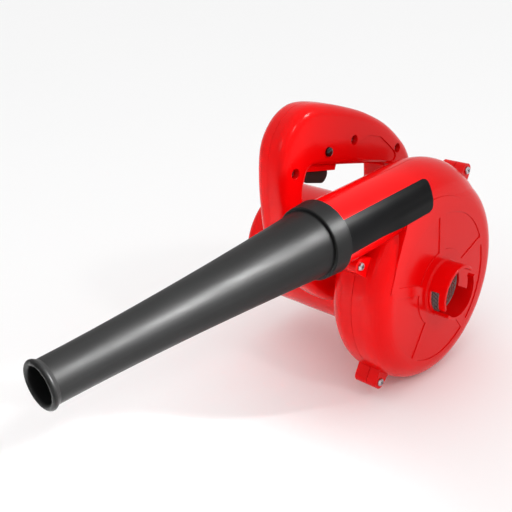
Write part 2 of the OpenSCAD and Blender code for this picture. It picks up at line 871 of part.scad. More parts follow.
module trigger() {
    x0 = trigger_x[0];
    x1 = trigger_x[1];
    y0 = trigger_y[0];
    y1 = trigger_y[1];
    outline = rounded([
        [x0, y1, 1], [x0, y0 + 0.5, 4], [x1, y0, 3], [x1, y1, 1]
    ]);
    color(dark) built() translate([0, 0, -handle_mid]) {
        translate([0, 0, -trigger_w / 2]) linear_extrude(trigger_w) polygon(outline);
        translate([stem_x[0], y1 - eps, -3]) cube([stem_x[1] - stem_x[0], switch_y[0] - y1, 6]);
    }
}

module trigger_spring() {
    r = (stem_x[0] - trigger_x[0]) / 2 - 1.2;
    color(steel) built() translate([(stem_x[0] + trigger_x[0]) / 2, trigger_y[1], -handle_mid]) rotate([-90, 0, 0])
        coil_spring(r, 0.45, switch_y[0] - trigger_y[1], 6);
}

module switch_body() {
    color("#202224") built() translate([0, 0, -handle_mid]) difference() {
        translate([switch_x[0], switch_y[0], -switch_w / 2])
            cube([switch_x[1] - switch_x[0], switch_y[1] - switch_y[0], switch_w]);
        translate([stem_x[0] - seat_gap, switch_y[0] - 1, -3 - seat_gap])
            cube([stem_x[1] - stem_x[0] + 2 * seat_gap, trigger_travel + 1 + seat_gap, 6 + 2 * seat_gap]);
    }
}

// Lock-on button with a flange behind the wall and a cup for its spring.
module lock_button() {
    color("#141414") built() translate([lock_at[0], lock_at[1], -handle_near]) difference() {
        union() {
            translate([0, 0, -lock_len]) cylinder(r = lock_r, h = lock_len + lock_proud);
            translate([0, 0, -handle_wall - seat_gap - 1.2]) cylinder(r = lock_r + 1, h = 1.2);
        }
        translate([0, 0, -lock_len - 1]) cylinder(r = lock_r - 0.8, h = 6);
    }
}

module lock_spring() {
    far_wall = -handle_mid - half_t + handle_wall;
    cup_floor = -handle_near - lock_len + 5;
    color(steel) built() translate([lock_at[0], lock_at[1], far_wall])
        coil_spring(lock_r - 1.5, 0.4, cup_floor - lock_travel - seat_gap - far_wall, 7);
}

module capacitor() {
    color("#d8a13a") built() translate([capacitor_at[0], capacitor_at[1], -handle_mid - half_t + handle_wall])
        cube(capacitor_size);
}

// ---------- assembly ----------

fan_cover();
fan_case();
inlet_mesh();
nozzle();
motor_case();
end_cover();
handle_near_half();
handle_far_half();
trigger();
trigger_spring();
lock_button();
lock_spring();
switch_body();
capacitor();
impeller();
impeller_nut();
impeller_washer();
shaft_spacer();
motor_shaft();
armature_core();
armature_windings();
commutator();
front_bearing();
rear_bearing();
bearing_retainer();
field_core();
field_coils();
field_screws();
brush_holders();
carbon_brushes();
brush_springs();
volute_screws();
handle_screws();
motor_case_screws();
end_cover_screws();
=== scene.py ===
"""Looks of a hand-held electric blower.

Finishes for its solids; smooth skins of the handle's halves; the lock-on button's dome, the moulded trigger
and its spring, the bare label and the woven inlet mesh; and a pale studio.
"""

import json
import math

import bmesh
import bpy
from bpy.props import FloatProperty, FloatVectorProperty, PointerProperty
from mathutils import Matrix, Vector


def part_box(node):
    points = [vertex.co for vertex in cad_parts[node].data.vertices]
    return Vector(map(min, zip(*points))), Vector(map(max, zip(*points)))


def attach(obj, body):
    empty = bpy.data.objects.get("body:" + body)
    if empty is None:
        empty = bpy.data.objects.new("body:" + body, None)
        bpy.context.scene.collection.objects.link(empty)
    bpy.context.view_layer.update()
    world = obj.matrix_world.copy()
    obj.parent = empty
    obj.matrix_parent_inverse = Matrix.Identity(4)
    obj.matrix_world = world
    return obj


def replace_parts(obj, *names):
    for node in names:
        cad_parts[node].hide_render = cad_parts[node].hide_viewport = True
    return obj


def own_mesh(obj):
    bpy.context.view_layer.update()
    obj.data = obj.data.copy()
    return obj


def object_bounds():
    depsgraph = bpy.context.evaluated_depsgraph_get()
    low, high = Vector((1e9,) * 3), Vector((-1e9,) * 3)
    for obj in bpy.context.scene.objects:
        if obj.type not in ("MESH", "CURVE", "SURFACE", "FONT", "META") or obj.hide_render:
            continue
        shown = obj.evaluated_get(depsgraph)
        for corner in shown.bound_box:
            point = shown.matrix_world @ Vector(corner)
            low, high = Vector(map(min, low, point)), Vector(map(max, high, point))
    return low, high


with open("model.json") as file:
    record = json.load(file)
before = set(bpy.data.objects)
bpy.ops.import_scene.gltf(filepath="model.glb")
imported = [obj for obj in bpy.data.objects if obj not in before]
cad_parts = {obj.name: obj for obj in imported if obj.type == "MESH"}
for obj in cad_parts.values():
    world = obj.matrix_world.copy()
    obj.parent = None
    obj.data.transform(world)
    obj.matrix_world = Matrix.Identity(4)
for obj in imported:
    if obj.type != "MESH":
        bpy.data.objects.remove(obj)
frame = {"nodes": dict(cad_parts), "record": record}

bl_info = {
    "name": "Hand Blower Looks",
    "version": (1, 0, 0),
    "blender": (4, 5, 0),
    "location": "3D View > Sidebar > Blower",
    "description": "Dresses the packed hand blower and sets up its studio",
    "category": "Object",
}

MM = 0.001
CAD_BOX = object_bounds()


# ---------- places taken from the frame ----------

def mount_place(name):
    """Place of one of the record's mounts, in metres."""
    return next(Vector(m["pos_m"]) for m in frame["record"]["mounts"] if m["name"] == name)


def centre_of(box):
    """Middle of a box that is given by its lowest and highest corners."""
    return [(low + high) / 2 for low, high in zip(*box)]


BUTTON_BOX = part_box("lock_button")
TRIGGER_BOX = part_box("trigger")
MESH_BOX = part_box("inlet_mesh")
NOZZLE_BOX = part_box("nozzle")
COVER_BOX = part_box("fan_cover")

CUFF_STEP = 2.3 * MM       # how far the nozzle's cuff stands out of the outlet tube
COLLAR_LENGTH = 19.2 * MM  # from the inlet collar's rim to the volute's flat face
OUTLET_AXIS = mount_place("nozzle_mouth")
OUTLET_R = (NOZZLE_BOX[1].z - NOZZLE_BOX[0].z) / 2 - CUFF_STEP
FACE_Y = COVER_BOX[0].y + COLLAR_LENGTH


# ---------- settings ----------

def linear(code):
    """An sRGB hex colour as linear RGBA."""
    channels = [int(code[i:i + 2], 16) / 255 for i in (1, 3, 5)]
    return [c / 12.92 if c <= 0.04045 else ((c + 0.055) / 1.055) ** 2.4 for c in channels] + [1.0]


def colour_prop(name, description, code):
    """A colour setting whose default is an sRGB hex value."""
    return FloatVectorProperty(
        name=name, description=description, subtype="COLOR", size=4, min=0, max=1, default=linear(code))


def length_prop(name, description, value):
    """A length setting in metres."""
    return FloatProperty(name=name, description=description, unit="LENGTH", default=value)


def angle_prop(name, description, degrees):
    """An angle setting whose default is given in degrees."""
    return FloatProperty(name=name, description=description, subtype="ANGLE", default=math.radians(degrees))


def power_prop(name, description, watts):
    """A setting for a light's power."""
    return FloatProperty(name=name, description=description, unit="POWER", default=watts)


class BlowerColours(bpy.types.PropertyGroup):
    """Colours of the finishes."""
    housing: colour_prop("Housing", "Moulded housing and handle", "#DC0305")
    rubber: colour_prop("Nozzle", "Rubber of the nozzle", "#121212")
    trigger: colour_prop("Trigger", "Moulded trigger", "#10221F")
    button: colour_prop("Button", "Lock-on button and switch", "#0C0C0D")
    label: colour_prop("Label", "Bare label on the outlet tube", "#070708")
    impeller: colour_prop("Impeller", "Filled nylon of the impeller", "#3A3D40")
    capacitor: colour_prop("Capacitor", "Case of the capacitor", "#D8A13A")
    floor: colour_prop("Floor", "Studio floor", "#FAFAFA")


class BlowerSizes(bpy.types.PropertyGroup):
    """Sizes of the pieces made here."""
    wire_pitch: length_prop("Mesh pitch", "Distance between the wires of the inlet mesh", 2.8 * MM)
    wire_r: length_prop("Wire radius", "Radius of the mesh wires", 0.3 * MM)
    label_start: length_prop("Label start", "Distance of the label's inner end from the fan axis", 17 * MM)
    label_end: length_prop("Label end", "Distance of the label's outer end from the fan axis", 127.4 * MM)
    label_corner: length_prop("Label corner", "Radius of the label's inner corners", 5 * MM)
    label_t: length_prop("Label thickness", "How far the label stands out of the tube", 0.25 * MM)
    label_top: angle_prop("Label top", "Label's upper edge, above the front of the tube", 41.8)
    label_bottom: angle_prop("Label bottom", "Label's lower edge, below the front of the tube", 17)


class BlowerStudio(bpy.types.PropertyGroup):
    """Camera and light."""
    azimuth: angle_prop("Azimuth", "Camera's direction round the part", -43.83)
    elevation: angle_prop("Elevation", "Camera's height angle", 25.4)
    roll: angle_prop("Roll", "Camera's roll", -4.67)
    distance: length_prop("Distance", "Camera's distance from the point it looks at", 568 * MM)
    lens: FloatProperty(
        name="Lens", description="Focal length in millimetres on a 36 mm sensor", default=55.88)
    key_power: power_prop("Key light", "Power of the key light", 2.4)
    fill_power: power_prop("Fill light", "Power of the fill light", 2.5)
    glint_power: power_prop("Glint light", "Power of the small light that glints on the grip", 2)


GROUPS = {"blower_colours": BlowerColours, "blower_sizes": BlowerSizes, "blower_studio": BlowerStudio}


# ---------- patterns ----------

NOISE_SPAN = (0.3, 0.7)  # nearly all values of a noise texture lie between these
WAVE_RATE = 20           # radians that a wave texture's stripes turn for each unit of its input


def add(tree, kind, settings=None, **inputs):
    """Adds a node with its settings; an input is a value or the socket that feeds it."""
    node = tree.nodes.new(kind)
    for key, value in (settings or {}).items():
        setattr(node, key, value)
    for key, value in inputs.items():
        socket = node.inputs[key.replace("_", " ")]
        if isinstance(value, bpy.types.NodeSocket):
            tree.links.new(value, socket)
        else:
            socket.default_value = value
    return node


def finish(name, colour, roughness, metallic=0.0, **inputs):
    """A material with one Principled shader; returns the material, its node tree and the shader."""
    material = bpy.data.materials.new(name)
    material.use_nodes = True
    material.diffuse_color = colour
    tree = material.node_tree
    tree.nodes.clear()
    shader = add(tree, "ShaderNodeBsdfPrincipled", Base_Color=colour, Roughness=roughness,
                 Metallic=metallic, **inputs)
    add(tree, "ShaderNodeOutputMaterial", Surface=shader.outputs["BSDF"])
    return material, tree, shader


def blotches(tree, size, detail=2.0, stretch=(1, 1, 1)):
    """Soft blotches about size metres across; a stretch under 1 draws them out along that axis."""
    place = add(tree, "ShaderNodeTexCoord")
    spread = add(tree, "ShaderNodeMapping", Vector=place.outputs["Object"], Scale=stretch)
    texture = add(tree, "ShaderNodeTexNoise", Vector=spread.outputs["Vector"], Scale=1 / size, Detail=detail)
    return texture.outputs["Fac"]


def stripes(tree, pitch, axis):
    """Even stripes across the given axis, one to each pitch."""
    place = add(tree, "ShaderNodeTexCoord")
    texture = add(tree, "ShaderNodeTexWave", {"wave_type": "BANDS", "bands_direction": axis},
                  Vector=place.outputs["Object"], Scale=2 * math.pi / (WAVE_RATE * pitch))
    return texture.outputs["Fac"]


def cloud(tree, shader, size, low, high, stretch=(1, 1, 1)):
    """Lets the roughness drift between low and high over patches of the given size."""
    patches = blotches(tree, size, detail=3, stretch=stretch)
    drift = add(tree, "ShaderNodeMapRange", Value=patches, From_Min=NOISE_SPAN[0], From_Max=NOISE_SPAN[1],
                To_Min=low, To_Max=high)
    tree.links.new(drift.outputs["Result"], shader.inputs["Roughness"])


def tint(tree, shader, colour, size, share):
    """Lets the base colour drift by a share of its brightness over patches of a size, and returns it."""
    darker = [c * (1 - share) for c in colour[:3]] + [1]
    patches = blotches(tree, size, detail=3)
    mix = add(tree, "ShaderNodeMix", {"data_type": "RGBA"}, Factor=patches, A=darker, B=colour)
    tree.links.new(mix.outputs["Result"], shader.inputs["Base Color"])
    return mix.outputs["Result"]


def relief(tree, shader, height, depth, strength, edge=0.0):
    """Bumps the surface by a height pattern; edge softens the piece's corners by that radius."""
    bump = add(tree, "ShaderNodeBump", Height=height, Distance=depth, Strength=strength)
    if edge:
        soft = add(tree, "ShaderNodeBevel", {"samples": 4}, Radius=edge)
        tree.links.new(soft.outputs["Normal"], bump.inputs["Normal"])
    tree.links.new(bump.outputs["Normal"], shader.inputs["Normal"])


# ---------- finishes ----------

def moulded_abs(colour):
    """ABS from a polished mould: deep even colour, a clear gloss and the faint waviness of shrunk plastic."""
    material, tree, shader = finish(
        "abs_moulded_gloss_red", colour, 0.2, IOR=1.54, Specular_IOR_Level=0.11)
    tint(tree, shader, colour, 45 * MM, 0.05)
    cloud(tree, shader, 9 * MM, 0.16, 0.24)
    relief(tree, shader, blotches(tree, 3.5 * MM), 0.02 * MM, 0.5, edge=0.5 * MM)
    return material


def moulded_rubber(colour):
    """Filled rubber from a satin mould: black, a broad grey sheen and flow marks along its length.

    The marks are drawn 0.9 mm wide, coarser than real ones, so that they show.
    """
    material, tree, shader = finish(
        "rubber_moulded_satin_black", colour, 0.44, IOR=1.52, Specular_IOR_Level=0.13)
    tint(tree, shader, colour, 30 * MM, 0.25)
    cloud(tree, shader, 6 * MM, 0.42, 0.52, stretch=(0.25, 1, 1))
    flow_marks = blotches(tree, 0.9 * MM, detail=3, stretch=(0.5, 1, 1))
    relief(tree, shader, flow_marks, 0.05 * MM, 0.5, edge=0.4 * MM)
    return material


def eroded_plastic(name, colour, roughness, grain=0.6 * MM):
    """Plastic from a spark-eroded mould: an even grain that breaks up the highlights.

    The real grain is about 0.1 mm wide and is drawn coarser so that it shows.
    """
    material, tree, shader = finish(name, colour, roughness, IOR=1.5)
    tint(tree, shader, colour, 12 * MM, 0.12)
    relief(tree, shader, blotches(tree, grain), 0.04 * MM, 0.6, edge=0.4 * MM)
    return material


def zinc_plate():
    """Zinc-plated steel, bright and slightly cloudy, with painted shade that darkens it in recesses and
    corners.
    """
    plate = linear("#C6C8CC")
    material, tree, shader = finish("steel_zinc_plated", plate, 0.28, metallic=1.0)
    unshaded_plate = tint(tree, shader, plate, 2 * MM, 0.2)
    # painted shade: ambient occlusion mixes the plate's colour towards near-black in recesses and corners, so
    # that the screws' cross recesses read dark
    corners = add(tree, "ShaderNodeAmbientOcclusion", {"samples": 8}, Distance=1.2 * MM)
    bare = add(tree, "ShaderNodeMapRange", Value=corners.outputs["AO"], From_Min=0.45, From_Max=0.9)
    mix = add(tree, "ShaderNodeMix", {"data_type": "RGBA"}, Factor=bare.outputs["Result"],
              A=linear("#1C1D1F"), B=unshaded_plate)
    tree.links.new(mix.outputs["Result"], shader.inputs["Base Color"])
    cloud(tree, shader, 1.5 * MM, 0.2, 0.38)
    return material


def ground_steel():
    """Ground steel: rings round the shaft that draw the highlight out, 0.4 mm apart so that they show."""
    material, tree, shader = finish("steel_ground", linear("#C2C5C9"), 0.24, metallic=1.0)
    relief(tree, shader, stripes(tree, 0.4 * MM, "Y"), 0.01 * MM, 0.4)
    return material


def laminated_iron():
    """Varnished stack of iron sheets 0.5 mm thick, drawn 1 mm so that the stack shows as stripes."""
    material, tree, shader = finish("iron_laminated_varnished", linear("#6E7378"), 0.45, metallic=0.8)
    relief(tree, shader, stripes(tree, 1 * MM, "Y"), 0.15 * MM, 0.7)
    return material


def enamelled_wire():
    """Copper wire under clear enamel, drawn 1 mm thick so that the turns show."""
    material, tree, shader = finish(
        "copper_wire_enamelled", linear("#B4622E"), 0.3, metallic=0.9, Coat_Weight=0.5, Coat_Roughness=0.1)
    relief(tree, shader, stripes(tree, 1 * MM, "DIAGONAL"), 0.3 * MM, 0.8)
    return material


def pressed_brass():
    """Brass strip as pressed, warm and lightly dulled."""
    material, tree, shader = finish("brass_pressed", linear("#C9A24A"), 0.34, metallic=1.0)
    cloud(tree, shader, 3 * MM, 0.28, 0.45)
    return material


def pressed_carbon():
    """Pressed carbon, dead matt and grainy, its grain drawn 0.4 mm wide so that it shows."""
    material, tree, shader = finish("carbon_pressed", linear("#2B2B2D"), 0.75)
    relief(tree, shader, blotches(tree, 0.4 * MM, detail=3), 0.08 * MM, 0.7)
    return material


def woven_wire():
    """Stainless wire, woven and dulled by dust. The weave is coarser than a real one's, so that it shows."""
    material, tree, shader = finish("stainless_wire_woven", linear("#A29A98"), 0.34, metallic=1.0)
    cloud(tree, shader, 1 * MM, 0.24, 0.4)
    return material


def laminated_film(colour):
    """Polyester film under a clear satin laminate: black, bare and faintly wavy."""
    material, tree, shader = finish(
        "polyester_film_satin_black", colour, 0.34, IOR=1.5, Specular_IOR_Level=0.07)
    cloud(tree, shader, 14 * MM, 0.3, 0.38)
    relief(tree, shader, blotches(tree, 5 * MM), 0.01 * MM, 0.4)
    return material


def matt_paper(colour):
    """White backdrop paper, dead matt, so that the floor takes only soft shade."""
    material, tree, shader = finish("paper_matt_white", colour, 0.9)
    tint(tree, shader, colour, 600 * MM, 0.01)
    return material


# ---------- mesh work ----------

def turns(count):
    """Even steps round a full turn, each as its cosine and sine."""
    return [(math.cos(a), math.sin(a)) for a in (2 * math.pi * k / count for k in range(count))]


def strip(build, low, high, around=True):
    """Faces between two rows of points; around joins the rows' last points to their first."""
    count = len(low)
    for k in range(count if around else count - 1):
        after = (k + 1) % count
        build.faces.new((low[k], low[after], high[after], high[k]))


def extruded(build, faces):
    """Extrudes faces and returns the points of the new end."""
    grown = bmesh.ops.extrude_face_region(build, geom=faces)["geom"]
    return [item for item in grown if isinstance(item, bmesh.types.BMVert)]


def round_off(build, edges, radius, segments):
    """Rounds edges by a radius."""
    bmesh.ops.bevel(build, geom=edges, offset=radius, segments=segments, profile=0.5, affect="EDGES")


def shade(build, sharp):
    """Makes the faces shade as one curve, with edges over the sharp angle kept."""
    for face in build.faces:
        face.smooth = True
    for edge in build.edges:
        edge.smooth = len(edge.link_faces) == 2 and edge.calc_face_angle(0) < sharp


def mesh_of(build, name):
    """Turns a finished bmesh into a mesh."""
    mesh = bpy.data.meshes.new(name)
    build.to_mesh(mesh)
    build.free()
    return mesh


def paint(material, *names):
    """Gives CAD nodes their finish."""
    for name in names:
        node = frame["nodes"][name]
        node.data.materials.clear()
        node.data.materials.append(material)


def new_piece(name, mesh, material, body):
    """A piece of one material that rides a body."""
    piece = bpy.data.objects.new(name, mesh)
    bpy.context.scene.collection.objects.link(piece)
    mesh.materials.clear()
    mesh.materials.append(material)
    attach(piece, body)
    return piece


def smooth_skin(node, material, body, sharp):
    """A welded copy of a faceted node whose facets shade as one curve; it replaces the node."""
    weld = 0.002 * MM
    mesh = frame["nodes"][node].data.copy()
    build = bmesh.new()
    build.from_mesh(mesh)
    bmesh.ops.remove_doubles(build, verts=build.verts, dist=weld)
    bmesh.ops.dissolve_degenerate(build, edges=build.edges, dist=weld)
    shade(build, sharp)
    build.to_mesh(mesh)
    build.free()
    if mesh.attributes.get("custom_normal"):
        mesh.attributes.remove(mesh.attributes["custom_normal"])
    skin = new_piece(node + "_skin", mesh, material, body)
    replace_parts(skin, node)
    return skin


# ---------- pieces ----------

class BLOWER_OT_housing(bpy.types.Operator):
    """Finish the volute halves, the motor case and its end cover"""
    bl_idname = "blower.housing"
    bl_label = "Housing"

    def execute(self, context):
        material = moulded_abs(context.scene.blower_colours.housing)
        paint(material, "fan_cover", "fan_case", "motor_case", "end_cover")
        return {"FINISHED"}


class BLOWER_OT_handle(bpy.types.Operator):
    """Make the smooth skins of the two handle halves"""
    bl_idname = "blower.handle"
    bl_label = "Handle"

    def execute(self, context):
        material = bpy.data.materials["abs_moulded_gloss_red"]
        for node in ("handle_near_half", "handle_far_half"):
            smooth_skin(node, material, "housing", sharp=math.radians(32))
        return {"FINISHED"}


class BLOWER_OT_nozzle(bpy.types.Operator):
    """Finish the rubber nozzle"""
    bl_idname = "blower.nozzle"
    bl_label = "Nozzle"

    def execute(self, context):
        paint(moulded_rubber(context.scene.blower_colours.rubber), "nozzle")
        return {"FINISHED"}


class BLOWER_OT_controls(bpy.types.Operator):
    """Finish the lock-on button, the switch and the capacitor"""
    bl_idname = "blower.controls"
    bl_label = "Button and switch"

    def execute(self, context):
        colours = context.scene.blower_colours
        black = eroded_plastic("abs_moulded_black", colours.button, 0.16, grain=2 * MM)
        paint(black, "lock_button", "switch_body")
        paint(eroded_plastic("polypropylene_yellow", colours.capacitor, 0.4), "capacitor")
        return {"FINISHED"}


class BLOWER_OT_button_crown(bpy.types.Operator):
    """Make the domed face of the lock-on button"""
    bl_idname = "blower.button_crown"
    bl_label = "Button crown"

    def execute(self, context):
        crown = 1.1 * MM  # the dome's height
        sink = 0.02 * MM  # how deep the dome is seated in the button's flat face
        sides, rings = 40, 8
        x, _, z = centre_of(BUTTON_BOX)
        base = BUTTON_BOX[0].y + sink
        centre = Vector((x, base, z))
        flat = [v.co for v in frame["nodes"]["lock_button"].data.vertices if v.co.y < base]
        flat_r = max(math.hypot(co.x - centre.x, co.z - centre.z) for co in flat)
        build = bmesh.new()
        levels = []
        for ring in range(rings):
            rise = math.pi / 2 * ring / rings
            r, y = flat_r * math.cos(rise), -crown * math.sin(rise)
            levels.append([build.verts.new(centre + Vector((r * c, y, r * s))) for c, s in turns(sides)])
        top = build.verts.new(centre + Vector((0, -crown, 0)))
        build.faces.new(levels[0])
        for lower, upper in zip(levels, levels[1:]):
            strip(build, lower, upper)
        last = levels[-1]
        for k in range(sides):
            build.faces.new((last[k], last[(k + 1) % sides], top))
        bmesh.ops.recalc_face_normals(build, faces=build.faces)
        for face in build.faces:
            face.smooth = len(face.verts) < sides
        mesh = mesh_of(build, "lock_button_crown")
        material = bpy.data.materials["abs_moulded_black"]
        new_piece("lock_button_crown", mesh, material, "lock_button")
        return {"FINISHED"}


class BLOWER_OT_trigger(bpy.types.Operator):
    """Make the trigger with its sloping pull and rounded edges"""
    bl_idname = "blower.trigger"
    bl_label = "Trigger"

    def execute(self, context):
        low, high = TRIGGER_BOX
        shoulder = high.z - 16.1 * MM                 # top of the pull, where the stem starts
        stem_foot = shoulder - 1 * MM                 # the stem reaches into the pull down to here
        stem_w, stem_in = 6 * MM, 9 * MM              # the stem's width, and its distance from the front
        front, back = low.z + 4 * MM, low.z + 2 * MM  # heights of the underside at its two ends
        toe = (high.x - 6 * MM, low.z - 3.5 * MM)     # lowest point of the underside
        corner_r, rim_r, stem_r = 3 * MM, 0.9 * MM, 0.4 * MM
        crease = math.radians(60)                     # edges over this angle get the rim's radius
        sharp = math.radians(35)
        build = bmesh.new()

        def prism(points, near, far):
            """Extrudes an outline of (x, z) points along y and returns the edges that run along y."""
            end = extruded(build, [build.faces.new([build.verts.new((x, near, z)) for x, z in points])])
            bmesh.ops.translate(build, verts=end, vec=(0, far - near, 0))
            return [edge for vert in end for edge in vert.link_edges
                    if abs(edge.verts[0].co.y - edge.verts[1].co.y) > (far - near) / 2]

        pull = [(low.x, shoulder), (low.x, front), toe, (high.x, back), (high.x, shoulder)]
        corners = prism(pull, low.y, high.y)
        lower = [edge for edge in corners if edge.verts[0].co.z < stem_foot]
        round_off(build, lower, corner_r, segments=5)
        rims = [edge for edge in build.edges if edge.calc_face_angle(0) > crease]
        round_off(build, rims, rim_r, segments=3)
        middle, left = (low.y + high.y) / 2, low.x + stem_in
        right = left + stem_w
        stem = [(left, stem_foot), (right, stem_foot), (right, high.z), (left, high.z)]
        edges = prism(stem, middle - stem_w / 2, middle + stem_w / 2)
        round_off(build, edges, stem_r, segments=2)
        bmesh.ops.recalc_face_normals(build, faces=build.faces)
        shade(build, sharp)
        mesh = mesh_of(build, "trigger_moulded")
        material = eroded_plastic("nylon_eroded_grey", context.scene.blower_colours.trigger, 0.42)
        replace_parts(new_piece("trigger_moulded", mesh, material, "trigger"), "trigger")
        return {"FINISHED"}


class BLOWER_OT_trigger_spring(bpy.types.Operator):
    """Make the smooth skin of the trigger's spring"""
    bl_idname = "blower.trigger_spring"
    bl_label = "Trigger spring"

    def execute(self, context):
        spring = smooth_skin("trigger_spring", zinc_plate(), "housing", sharp=math.radians(60))
        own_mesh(spring)
        return {"FINISHED"}


class BLOWER_OT_label(bpy.types.Operator):
    """Make the bare label on the near side of the outlet tube"""
    bl_idname = "blower.label"
    bl_label = "Label"

    def execute(self, context):
        sizes = context.scene.blower_sizes
        near, far, corner = sizes.label_start, sizes.label_end, sizes.label_corner
        sweep = sizes.label_top + sizes.label_bottom
        height = sweep * OUTLET_R
        columns, rows = 96, 24
        face = OUTLET_AXIS.y - FACE_Y            # distance of the flat face from the outlet's axis
        run_start, run_end = -90 * MM, -54 * MM  # where the tube turns into the flat face
        crest = math.radians(12)                 # above this angle the skin is the tube's everywhere
        skirt = 3 * MM                           # how far the label's back lies inside its front
        sharp = math.radians(40)

        def ease(value):
            """Smooth step from 0 to 1."""
            value = min(max(value, 0), 1)
            return value * value * (3 - 2 * value)

        def surface_r(x, angle):
            """Radius of the skin under the label: the tube, running into the flat face at the inner end."""
            flat = face / math.cos(angle) if angle < 0 else face + (OUTLET_R - face) * ease(angle / crest)
            return OUTLET_R + ease((x - run_start) / (run_end - run_start)) * (flat - OUTLET_R)

        def drawn_back(row):
            """How far the label's inner end stays back at a row, for its round corners."""
            at = row / rows * height
            edge = min(at, height - at)
            return corner - math.sqrt(corner ** 2 - (corner - min(edge, corner)) ** 2)

        build = bmesh.new()
        grid = []
        for row in range(rows + 1):
            angle = -sizes.label_bottom + sweep * row / rows
            start = near + drawn_back(row)
            line = []
            for column in range(columns + 1):
                x = -(start + (far - start) * column / columns)
                r = surface_r(x, angle) + sizes.label_t
                y, z = OUTLET_AXIS.y - r * math.cos(angle), OUTLET_AXIS.z + r * math.sin(angle)
                line.append(build.verts.new((x, y, z)))
            grid.append(line)
        for lower, upper in zip(grid, grid[1:]):
            strip(build, lower, upper, around=False)
        bmesh.ops.recalc_face_normals(build, faces=build.faces)
        for vert in extruded(build, build.faces[:]):
            out = Vector((0, vert.co.y - OUTLET_AXIS.y, vert.co.z - OUTLET_AXIS.z))
            vert.co -= out * (skirt / out.length)
        bmesh.ops.recalc_face_normals(build, faces=build.faces)
        shade(build, sharp)
        material = laminated_film(context.scene.blower_colours.label)
        new_piece("label", mesh_of(build, "label"), material, "housing")
        return {"FINISHED"}


class BLOWER_OT_inlet_mesh(bpy.types.Operator):
    """Weave the wire mesh in the inlet collar"""
    bl_idname = "blower.inlet_mesh"
    bl_label = "Inlet mesh"

    def execute(self, context):
        sizes = context.scene.blower_sizes
        pitch, wire_r = sizes.wire_pitch, sizes.wire_r
        low, high = MESH_BOX
        centre = Vector(centre_of(MESH_BOX))
        rim_w, rim_wire_r = 1.6 * MM, 0.5 * MM
        reach = (high.x - low.x) / 2 - rim_w / 2  # radius at which the wires end in the rim
        count = int(reach / pitch)                # wires on each side of the middle one
        sides, rim_points = 5, 72
        steps = 2                                 # points on a wire for each pitch
        lie = Matrix.Rotation(math.radians(45), 3, "Y")
        build = bmesh.new()

        def tube(points, radius, closed=False):
            """Sweeps a round wire through the points."""
            rings = []
            for index, point in enumerate(points):
                ahead = points[(index + 1) % len(points)] if closed or index + 1 < len(points) else point
                behind = points[index - 1] if closed or index else point
                along = (ahead - behind).normalized()
                side = along.cross(Vector((0, 1, 0))).normalized()
                up = side.cross(along)
                rings.append([build.verts.new(point + radius * (side * c + up * s)) for c, s in turns(sides)])
            for ring, after in zip(rings, rings[1:]):
                strip(build, ring, after)
            if closed:
                strip(build, rings[-1], rings[0])
            else:
                build.faces.new(rings[0][::-1])
                build.faces.new(rings[-1])

        for way in (0, 1):
            for line in range(-count, count + 1):
                offset = line * pitch
                half = math.sqrt(reach ** 2 - offset ** 2)
                spans = max(int(2 * half / pitch * steps), 2)
                points = []
                for k in range(spans + 1):
                    s = -half + 2 * half * k / spans
                    wave = wire_r * math.cos(math.pi * (s / pitch + line + way))
                    flat = Vector((offset, 0, s)) if way else Vector((s, 0, offset))
                    points.append(centre + lie @ flat + Vector((0, wave, 0)))
                tube(points, wire_r)
        rim = [centre + Vector((reach * c, 0, reach * s)) for c, s in turns(rim_points)]
        tube(rim, rim_wire_r, closed=True)
        bmesh.ops.recalc_face_normals(build, faces=build.faces)
        for face in build.faces:
            face.smooth = True
        mesh = mesh_of(build, "inlet_mesh_woven")
        piece = new_piece("inlet_mesh_woven", mesh, woven_wire(), "housing")
        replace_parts(piece, "inlet_mesh")
        return {"FINISHED"}


class BLOWER_OT_rotor(bpy.types.Operator):
    """Finish the impeller, the shaft, the armature and the field"""
    bl_idname = "blower.rotor"
    bl_label = "Rotor"

    def execute(self, context):
        colour = context.scene.blower_colours.impeller
        paint(eroded_plastic("nylon_filled_grey", colour, 0.5, grain=1 * MM), "impeller")
        paint(ground_steel(), "motor_shaft", "shaft_spacer", "front_bearing", "rear_bearing")
        paint(laminated_iron(), "armature_core", "field_core")
        paint(enamelled_wire(), "armature_windings", "field_coils", "commutator")
        return {"FINISHED"}


class BLOWER_OT_brushes(bpy.types.Operator):
    """Finish the brush gear"""
    bl_idname = "blower.brushes"
    bl_label = "Brush gear"

    def execute(self, context):
        paint(pressed_brass(), "brush_holders")
        paint(pressed_carbon(), "carbon_brushes")
        return {"FINISHED"}


class BLOWER_OT_fasteners(bpy.types.Operator):
    """Finish the screws, the nut, the washer, the retainer and the springs"""
    bl_idname = "blower.fasteners"
    bl_label = "Fasteners"

    def execute(self, context):
        paint(bpy.data.materials["steel_zinc_plated"],
              "volute_screws", "handle_screws", "motor_case_screws", "end_cover_screws", "field_screws",
              "impeller_nut", "impeller_washer", "bearing_retainer", "lock_spring", "brush_springs")
        return {"FINISHED"}


# ---------- studio ----------

# Each light's name, its place, the point it faces, its width (all in metres) and the spread of its beam
LIGHTS = (
    ("key", (0.45, -0.75, 0.75), (-0.37, 0.03, 0.09), 0.25, math.radians(18)),
    ("fill", (-1.5, -0.1, 1.0), (-0.1, 0.05, 0.05), 0.5, math.pi),
    ("glint", (-0.15, -1.0, 0.95), (-0.1, 0.09, 0.16), 0.12, math.pi),
)
CAMERA_TARGET = Vector((-0.2001, OUTLET_AXIS.y, 0.1017))


